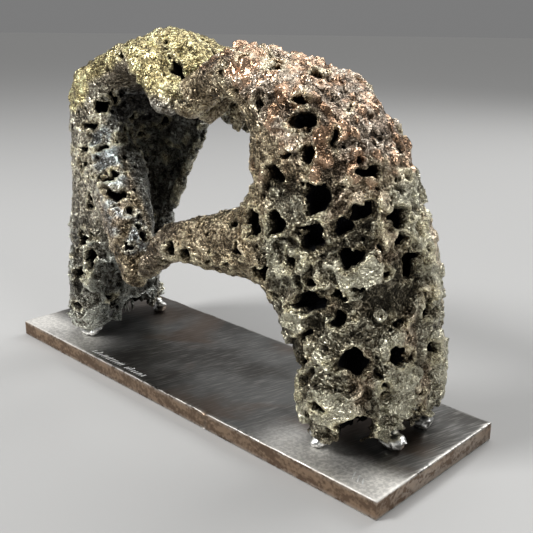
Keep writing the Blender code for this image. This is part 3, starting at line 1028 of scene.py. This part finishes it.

# %% [markdown]
# Metal of the hands. All of it is bare metal, so Metallic is 1 and the colour is that of its reflection.
# Grains too small for the mesh come from the material. Wrinkles are the size of a noise, whatever its
# sign, which leaves sharp grooves between rounded folds. Here and there pebbles take their place. The same
# heights give the bump and the colour, with painted shade in the grooves and a painted highlight on the tops,
# so the two agree. Drops are sleek: there both are weak.

# %% Hand materials
# Painted shade for the hand metal: dark in grooves and low places, up to a painted highlight above white on
# tops
SHADES = (
    (0.0, (0.07, 0.065, 0.06)),
    (0.35, (0.33, 0.30, 0.265)),
    (0.6, (0.80, 0.78, 0.75)),
    (0.9, (1.25, 1.25, 1.22)),
)
# Painted shade: nearly black, for corners deep under the skin
HOLLOW_SHADE = (0.008, 0.008, 0.009)
BUMP_HEIGHT = 0.00125
BEND = (0.002, 0.002, 0.002)


def run_metal(name):
    """Bare metal: the tint of its corners times a painted shade, dark in grooves, with a painted highlight on
    tops.
    """
    material, tree, shader = new_material(name)
    place = add_node(tree, "ShaderNodeTexCoord", outlet=3)
    soot, rise, sleek = (attribute(tree, layer, 2) for layer in ("soot", "rise", "sleek"))
    wander = clouds(place, 300.0, 1.0, outlet=1)
    bent = place.node(
        "ShaderNodeVectorMath", {"operation": "MULTIPLY_ADD"},
        input_0=wander, input_1=BEND, input_2=place,
    )
    pebble = 1 - place.node("ShaderNodeTexVoronoi", {"feature": "F1"}, input_0=bent, Scale=560.0)
    fleck = clouds(place, 900.0, 2.0)
    cloud = clouds(place, 120.0, 3.0)
    patch = clouds(place, 55.0, 1.0).step(0.42, 0.58)
    wide_fold = (clouds(bent, 190.0, 1.5, bend=0.8) - 0.5).size() * 5
    fine_fold = (clouds(bent, 430.0, 1.5, bend=1.0) - 0.5).size() * 5
    grain = pebble * patch + fine_fold * (1 - patch)
    height = (grain * 0.9 + wide_fold * 0.85 + fleck * 0.28) * (1 - sleek * 0.8)
    # top sets the painted shade: grooves and corners under the skin darker, tops and drops lighter
    top = (height - 0.85) * 0.6 + (fleck - 0.5) * 0.7 + (cloud - 0.5) * 1.1 + (rise - 0.5) * 1.0
    top = top * (1 - sleek * 0.5) + 0.42 + sleek * 0.12
    shade = top.node("ShaderNodeValToRGB", {"stops": SHADES}, input_0=top)
    metal = place.node(
        "ShaderNodeMix", {"data_type": "RGBA", "blend_type": "MULTIPLY", "clamp_result": True}, 2,
        input_0=1.0, input_6=attribute(tree, "tint", 0), input_7=shade,
    )
    # Painted shade: corners deep under the skin, inside the hand and down the walls of its openings, turn
    # nearly black
    colour = mix_colours(soot, metal, HOLLOW_SHADE)
    rough = 0.2 + fleck * 0.2 + soot * 0.4 - sleek * 0.03
    bare_metal(shader, colour, rough, bump=1.0, distance=BUMP_HEIGHT, height=height + cloud * 0.5)
    return material


HAND_SLOTS = {"right": "copper_run_steel", "left": "brass_run_steel"}
for side, slot in HAND_SLOTS.items():
    hands[side].data.materials.clear()
    hands[side].data.materials.append(run_metal(slot))
    print(slot, "nodes", len(hands[side].data.materials[0].node_tree.nodes))

# %% [markdown]
# Weld tacks. Each is a lump of bright weld that ran down between foot and bar. Three soft balls that melt
# into each other make its field, and a little noise makes it uneven. It sinks a little into the bar.

# %% Tacks
TACK_STEP = 0.5
TACK_BUDGET = 6000
TACK_SINK = 0.4
TACK_LEVEL = 0.2
TACK_STEEP = 5
TACK_MARGIN = 4
TACK_SPREAD = (0.9, 0.9, 1.5)
TACK_ROOM = np.array((0, 0, 10))
# Each ball's lean along the bar as a share of the tack, its lift in mm, and its size as a share
TACK_BALLS = ((0.0, 0.0, 0.95), (0.35, 3.4, 0.72), (-0.3, 6.2, 0.6))


def tack(name, seed):
    """A mound of weld: the sum of soft balls, each exp(-2.2 d^2) at d radii from its middle, cut at one level
    and roughened."""
    low, high = (np.array(corner[:]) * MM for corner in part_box(name))
    middle, half = (low + high) / 2, (high - low) / 2
    grid = empty_field(low, high + TACK_ROOM, TACK_MARGIN, TACK_STEP)
    points = grid.points()
    luck = np.random.default_rng(seed)
    melted = np.zeros(len(points), np.float32)
    for lean, lift, size in TACK_BALLS:
        shift = np.array((lean * half[0], luck.uniform(-0.3, 0.3) * half[1], lift))
        away = (points - (middle + shift)) / (half * size * np.array(TACK_SPREAD))
        melted += np.exp(-2.2 * (away ** 2).sum(1)).astype(np.float32)
    rough = 0.45 * noise(points, 3.1, seed) + 0.2 * noise(points, 1.6, seed)
    field = np.maximum((TACK_LEVEL - melted) * TACK_STEEP + rough, low[2] - TACK_SINK - points[:, 2])
    field = Field(field.reshape(grid.values.shape), grid.first, TACK_STEP)
    return field_object(name + "_lump", field, TACK_BUDGET)


tacks = {}
for side, first_seed in (("left", 10), ("right", 0)):
    for k in (1, 2, 3):
        name = f"{side}_weld_{k}"
        tacks[name] = tack(name, first_seed + k)

# %% [markdown]
# The bar. It is a length of flat bar: its section, a rectangle with rounded corners, is carried along it,
# and shrinks at both ends. Real edges aren't straight, so a noise wears them a little, and one nick is
# struck in the front edge.

# %% Tubes and the bar's section
BAR_EDGE = 0.9
EDGE_STEPS = 4
STEPS_LONG = 240
STEPS_WIDE = 60
STEPS_HIGH = 5
SAME_PLACE = 1e-6
bar_low, bar_high = (np.array(corner[:]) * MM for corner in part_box("base_plate"))
bar_half = (bar_high - bar_low) / 2
bar_middle = (bar_high + bar_low) / 2


def tubes(name, runs):
    """Closed tubes as one object. Each is a grid of points in mm with a row for each ring: squares join
    neighbouring rings, and a flat face closes each end. Points at one place are merged."""
    corners, faces, first = [], [], 0
    for rings in runs:
        index = first + np.arange(rings[..., 0].size).reshape(rings.shape[:2])
        after = np.roll(index, -1, 1)
        squares = np.stack([index[:-1], after[:-1], after[1:], index[1:]], 2)
        faces += squares.reshape(-1, 4).tolist() + index[[0, -1]].tolist()
        corners.append(rings.reshape(-1, 3))
        first += index.size
    mesh = bpy.data.meshes.new(name)
    mesh.from_pydata((np.concatenate(corners) / MM).tolist(), [], faces)
    edit = bmesh.new()
    edit.from_mesh(mesh)
    bmesh.ops.remove_doubles(edit, verts=edit.verts, dist=SAME_PLACE)
    bmesh.ops.recalc_face_normals(edit, faces=edit.faces)
    edit.to_mesh(mesh)
    edit.free()
    mesh.shade_smooth()
    return add_object(name, mesh)


def section(half_wide, half_high, edge, along_wide, along_high):
    """Points and outward directions round a rectangle with rounded corners, from its bottom right corner:
    four quarter circles, and straight rows of so many steps between them."""
    turn = np.linspace(0, math.pi / 2, EDGE_STEPS + 1)
    points, outs = [], []
    for quarter, (y, z) in enumerate(((1, -1), (1, 1), (-1, 1), (-1, -1))):
        angle = turn + (quarter - 1) * math.pi / 2
        out = np.stack([np.cos(angle), np.sin(angle)], 1)
        centre = np.array((y * (half_wide - edge), z * (half_high - edge)))
        points.append(centre + out * edge)
        outs.append(out)
        side = along_high if quarter in (0, 2) else along_wide
        to = np.array(((1, 1), (-1, 1), (-1, -1), (1, -1))[quarter]) * (half_wide - edge, half_high - edge)
        share = np.linspace(0, 1, side + 1)[1:-1, None]
        points.append(centre + out[-1] * edge + (to - centre) * share)
        outs.append(np.repeat(out[-1:], side - 1, 0))
    return np.concatenate(points), np.concatenate(outs)


print("section of", len(section(1, 1, 0, STEPS_WIDE, STEPS_HIGH)[0]), "points")

# %% Bar
WEAR_WIDE = 1.6
WEAR_DEEP = 0.35
WEAR_FROM = 3.0
SHARP_TURN = math.radians(50)
# Where along the bar the nick is, how wide and how deep, in mm
BAR_NICK = (44.0, 2.2, 1.3)


def bar_surface(name):
    """Sections along the bar, drawn in at both ends by a quarter circle. Its upper edges are lowered by a
    bell of the distance from them times a noise, and the nick is one deeper bell."""
    turn = np.linspace(math.pi / 2, 0, EDGE_STEPS + 1)
    end = bar_half[0] - BAR_EDGE
    left = np.stack([-end - BAR_EDGE * np.sin(turn), BAR_EDGE * (1 - np.cos(turn))], 1)
    run = np.linspace(-end, end, STEPS_LONG + 1)[1:-1]
    stations = np.concatenate([left, np.stack([run, 0 * run], 1), left[::-1] * (-1, 1)])
    ring, outs = section(bar_half[1], bar_half[2], BAR_EDGE, STEPS_WIDE, STEPS_HIGH)
    count = len(ring)
    x = np.repeat(stations[:, 0], count)
    drawn = np.repeat(stations[:, 1], count)
    y, z = np.tile(ring, (len(stations), 1)).T
    out = np.tile(outs, (len(stations), 1))
    points = np.stack([x, y - out[:, 0] * drawn, z - out[:, 1] * drawn], 1) + bar_middle
    from_side = (bar_half - np.abs(points - bar_middle))[:, :2].min(1)
    uneven = (0.4 + noise(points.astype(np.float32), 7, 4.4)).clip(0)
    worn = bell(from_side, WEAR_WIDE) * WEAR_DEEP * uneven
    where, wide, deep = BAR_NICK
    dent = np.hypot(points[:, 0] - where, points[:, 1] - bar_low[1])
    worn = worn + deep * bell(dent, wide) * (points[:, 2] > bar_middle[2])
    points[:, 2] -= worn * np.sign(points[:, 2] - bar_middle[2]) * (points[:, 2] > bar_low[2] + WEAR_FROM)
    points[:, 1] += 0.5 * deep * bell(points[:, 0] - where, wide) * (y < 0.01 - bar_half[1])
    item = tubes(name, [points.reshape(len(stations), count, 3)])
    item.data.set_sharp_from_angle(angle=SHARP_TURN)
    return item


bar = bar_surface("steel_bar")
print("bar faces", len(bar.data.polygons))

# %% [markdown]
# Scribed strokes. The bar's top bears rows of plain slanted strokes near its front edge, and a small mark
# of three strokes at one end. They are thin lips of pushed-up metal: a flat oval carried along a line, and
# sunk a little into the bar.

# %% One stroke
STROKE_WIDE = 1.0
STROKE_HIGH = 0.26
STROKE_SINK = 0.05
STROKE_SIDES = 8
STROKE_RINGS = 9
STROKE_BOW = 0.25


def stroke(start, end):
    """A lip from start to end on the bar's top: rings of a flat oval around a slightly bowed line, which
    narrow to both ends as the root of 1 - (2 t - 1)^4."""
    share = np.linspace(0, 1, STROKE_RINGS)
    narrow = np.sqrt(np.clip(1 - (2 * share - 1) ** 4, 0.02, 1))
    along = (end - start) / np.linalg.norm(end - start)
    side = np.array((-along[1], along[0]))
    angle = np.arange(STROKE_SIDES) / STROKE_SIDES * 2 * math.pi
    bow = STROKE_BOW * np.sin(share * math.pi)
    middle = start + share[:, None] * (end - start) + bow[:, None] * side
    wide = narrow[:, None] * np.cos(angle) * STROKE_WIDE / 2
    flat = middle[:, None, :] + wide[:, :, None] * side
    high = bar_high[2] - STROKE_SINK + narrow[:, None] * np.sin(angle) * STROKE_HIGH
    return np.concatenate([flat, high[:, :, None]], 2)


print("one stroke has", STROKE_RINGS, "rings of", STROKE_SIDES, "points")

# %% Rows of strokes
ROW_START = np.array((-87.0, -56.5))
ROW_END = np.array((-27.0, -56.5))
ROW_STROKES = 22
ROW_GAP = 13
ROW_LEAN = (0.6, 2.2)
ROW_TALL = (3.2, 6.0)
MARK_PLACE = np.array((158.0, -53.0))
MARK_STROKES = 3
MARK_STEP = 3.6
MARK_LEAN = -3.5
# The first stroke's height in mm, and how much lower each next one is
MARK_TALL, MARK_FALL = 8.0, 1.2
luck = np.random.default_rng(RANDOM_SEED)
row_lines = []
for k in range(ROW_STROKES):
    lean, tall = luck.uniform(*ROW_LEAN), luck.uniform(*ROW_TALL)
    if k != ROW_GAP:
        foot = ROW_START + (ROW_END - ROW_START) * k / (ROW_STROKES - 1)
        row_lines.append((foot, foot + (lean, tall)))
mark_feet = [MARK_PLACE + (MARK_STEP * k, 0) for k in range(MARK_STROKES)]
mark_lines = [(foot, foot + (MARK_LEAN, MARK_TALL - MARK_FALL * k)) for k, foot in enumerate(mark_feet)]
row = tubes("scribed_strokes", [stroke(*line) for line in row_lines + mark_lines])
print("strokes", len(row_lines), "and a mark of", len(mark_lines))

# %% [markdown]
# Steel of the bar. Its top was ground crosswise, which leaves fine slanted marks. Welding heat stained it
# brown around the feet and in soft clouds between them. Its flanks are brown mill scale, and its edges are
# worn bright. Both ends of its top near the front are rubbed rougher and carry a painted sheen, a lighter
# colour where the top would reflect light. Each of these is a coat over the last one. Where they lie is
# stored on the mesh's corners, because it depends on the bar's shape.

# %% Bar material
BRUSH_TURN = math.radians(14)
BAR_GREY = (0.15, 0.15, 0.145)
BAR_DARK = (0.08, 0.076, 0.07)
BAR_BROWN = (0.13, 0.08, 0.05)
BAR_SCALE = (0.36, 0.26, 0.18)
SCALE_DARK = (0.19, 0.13, 0.09)
BAR_BRIGHT = (0.62, 0.60, 0.56)
# Painted sheen: a lighter colour towards the front ends of the top
BAR_SHEEN = (0.80, 0.78, 0.74)
BRUSH_SCALE = (900.0, 70.0, 900.0)
RUST_SCALE = (70.0, 70.0, 200.0)
HEAT_REACH = 24.0


def bar_steel(name):
    """Bare steel: ground and stained on top, scaled on its flanks, worn bright on its edges, and rubbed
    rougher with a painted sheen towards its two front corners."""
    material, tree, shader = new_material(name)
    place = add_node(tree, "ShaderNodeTexCoord", outlet=3)
    heat, edge, flank, rubbed = (attribute(tree, layer, 2) for layer in ("heat", "edge", "flank", "rubbed"))
    turned = place.node("ShaderNodeMapping", input_0=place, input_2=(0.0, 0.0, BRUSH_TURN))
    brushed = place.node("ShaderNodeMapping", input_0=turned, input_3=BRUSH_SCALE)
    brush = clouds(brushed, 1.0, 3.0)
    cloud = clouds(place, 24.0, 4.0)
    stain = clouds(place, 13.0, 3.0, bend=0.6)
    speck = clouds(place, 420.0, 2.0)
    drawn = place.node("ShaderNodeMapping", input_0=place, input_3=RUST_SCALE)
    rust = clouds(drawn, 1.0, 4.0, bend=0.5)
    scale = mix_colours((rust + (speck - 0.5) * 0.8).step(0.36, 0.68), SCALE_DARK, BAR_SCALE)
    # worn sets how strong the painted sheen is, in patches, on the top's front ends
    worn = 0.5 + cloud.step(0.35, 0.65) * 0.25 + speck.step(0.42, 0.6) * 0.25 + brush.step(0.4, 0.65) * 0.1
    coats = (
        (cloud.step(0.35, 0.65), BAR_GREY), (brush.step(0.45, 0.75) * 0.24, BAR_BRIGHT),
        (stain.step(0.5, 0.66) * (1 - rubbed) * 0.55, BAR_BROWN),
        (heat * cloud.step(0.3, 0.6) * 0.8, BAR_BROWN), (rubbed * worn, BAR_SHEEN), (flank, scale),
        (edge * (rust * 0.6 + speck * 0.5).step(0.44, 0.56), BAR_BRIGHT),
    )
    base = BAR_DARK
    for amount, colour in coats:
        base = mix_colours(amount, base, colour)
    height = brush * (1 - rubbed * 0.6) + speck * (flank + rubbed * 0.6)
    rough = 0.34 + cloud * 0.14 + flank * 0.1 + rubbed * 0.2 + edge * (rust - 0.5) * 1.2
    bare_metal(shader, base, rough, bump=0.35, distance=0.0002, height=height)
    return material


print("bar colours ready")

# %% Where the bar is rubbed, scaled and stained
spots = corners_of(bar)
from_flank = bar_half[1] - np.abs(spots[:, 1])
from_end = bar_half[0] - np.abs(spots[:, 0])
from_face = bar_half[2] - np.abs(spots[:, 2] - bar_middle[2])
upright = bell(np.minimum(from_flank, from_end), BAR_EDGE)
edge = upright * bell(from_face, BAR_EDGE)
flank = upright * smooth(0.4 * BAR_EDGE, BAR_EDGE, from_face)
heat = bell(from_tacks(spots, tacks_of("left") + tacks_of("right")), HEAT_REACH)
# Painted sheen and rubbed finish on both ends of the top near the front, in mm
rubbed = smooth(70, 120, np.abs(spots[:, 0])) * smooth(-20, -44, spots[:, 1])
paint(bar, heat=heat, edge=edge, flank=flank, rubbed=rubbed)
bar.data.materials.append(bar_steel("ground_steel"))
print("bar corners at its edges", int((edge > 0.5).sum()))

# %% [markdown]
# Bright weld. Tacks are clean metal that froze in small lumps; their colour has a painted highlight on the
# tops and painted shade in the dips. The scribed strokes are nearly as bright but rougher, because they are
# torn and not molten.

# %% Weld and stroke materials
def bright_metal(name, dip, top, rough):
    """Clean metal from a painted shade colour in its dips to a painted highlight colour on its tops, with a
    fine uneven bump.
    """
    material, tree, shader = new_material(name)
    place = add_node(tree, "ShaderNodeTexCoord", outlet=3)
    lump = clouds(place, 330.0, 3.0)
    fine = clouds(place, 1100.0, 2.0)
    # Painted shade in the dips and a painted highlight on the tops, by the same lump as the bump
    colour = mix_colours(lump.step(0.35, 0.6), dip, top)
    bare_metal(shader, colour, rough + fine * 0.2, bump=0.8, distance=0.0004, height=lump + fine * 0.3)
    return material


weld = bright_metal("bright_weld", (0.42, 0.42, 0.41), (0.88, 0.88, 0.85), 0.22)
torn = bright_metal("scribed_line", (0.62, 0.63, 0.62), (0.85, 0.85, 0.83), 0.42)
for item in tacks.values():
    item.data.materials.append(weld)
row.data.materials.append(torn)
print("materials", [material.name for material in bpy.data.materials])

# %% [markdown]
# Riding. Every new piece rides on the one body. All but the strokes stand for the node that they were grown
# from.

# %% Riding
for side, slot in HAND_SLOTS.items():
    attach(hands[side], "root")
    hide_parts(f"{side}_hand")
for name, item in tacks.items():
    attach(item, "root")
    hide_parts(name)
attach(bar, "root")
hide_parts("base_plate")
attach(row, "root")
print("riding", len(hands) + len(tacks) + 2, "pieces")

# %% [markdown]
# Floor and light. The work stands on a plain pale floor, so large that no edge of it shows. Three large soft
# lamps and an even light from above light it as in a studio: the key comes from the front left, and the one
# behind draws the outline. Bare metal shows what it reflects, so the sky is a middle grey.

# %% Stage
FLOOR_RADIUS = 19.0
FLOOR_COLOUR = (0.38, 0.378, 0.372)
FLOOR_SIDES = 96
SKY_COLOUR = (0.20, 0.20, 0.20)
LAMP_AIM = Vector((0, 0, 0.12))
EVEN_POWER = 1.1
EVEN_SPREAD = math.radians(40)
EVEN_LEAN = (math.radians(-20), math.radians(-15))
floor_mesh = bpy.data.meshes.new("floor")
turns = np.arange(FLOOR_SIDES) / FLOOR_SIDES * 2 * math.pi
rim_points = np.stack([np.cos(turns), np.sin(turns), 0 * turns], 1) * FLOOR_RADIUS
floor_mesh.from_pydata(rim_points.tolist(), [], [list(range(FLOOR_SIDES))])
floor = add_object("floor", floor_mesh)
floor_paint, _, floor_shader = new_material("pale_floor")
feed(floor_shader, Base_Color=FLOOR_COLOUR, Roughness=0.9)
floor_mesh.materials.append(floor_paint)


def lamp(name, place, size, power):
    """A square soft lamp that shines at the middle of the work."""
    data = bpy.data.lights.new(name, "AREA")
    data.size = size
    data.energy = power
    turn = (LAMP_AIM - Vector(place)).to_track_quat("-Z", "Y").to_matrix().to_4x4()
    add_object(name, data).matrix_world = Matrix.Translation(place) @ turn


lamp("key", (-0.6, -1.2, 1.4), 0.5, 36)
lamp("side", (1.7, -0.2, 0.9), 0.7, 12)
lamp("back", (0.1, 1.5, 1.4), 0.9, 20)
even_data = bpy.data.lights.new("even_light", "SUN")
even_data.energy = EVEN_POWER
even_data.angle = EVEN_SPREAD
even = add_object("even_light", even_data)
even.matrix_world = Matrix.Rotation(EVEN_LEAN[0], 4, "X") @ Matrix.Rotation(EVEN_LEAN[1], 4, "Y")
bpy.context.scene.view_settings.view_transform = "Standard"
world = bpy.data.worlds.new("studio")
world.use_nodes = True
world.node_tree.nodes["Background"].inputs["Color"].default_value = (*SKY_COLOUR, 1)
bpy.context.scene.world = world
print("lights", [light.name for light in bpy.data.lights])
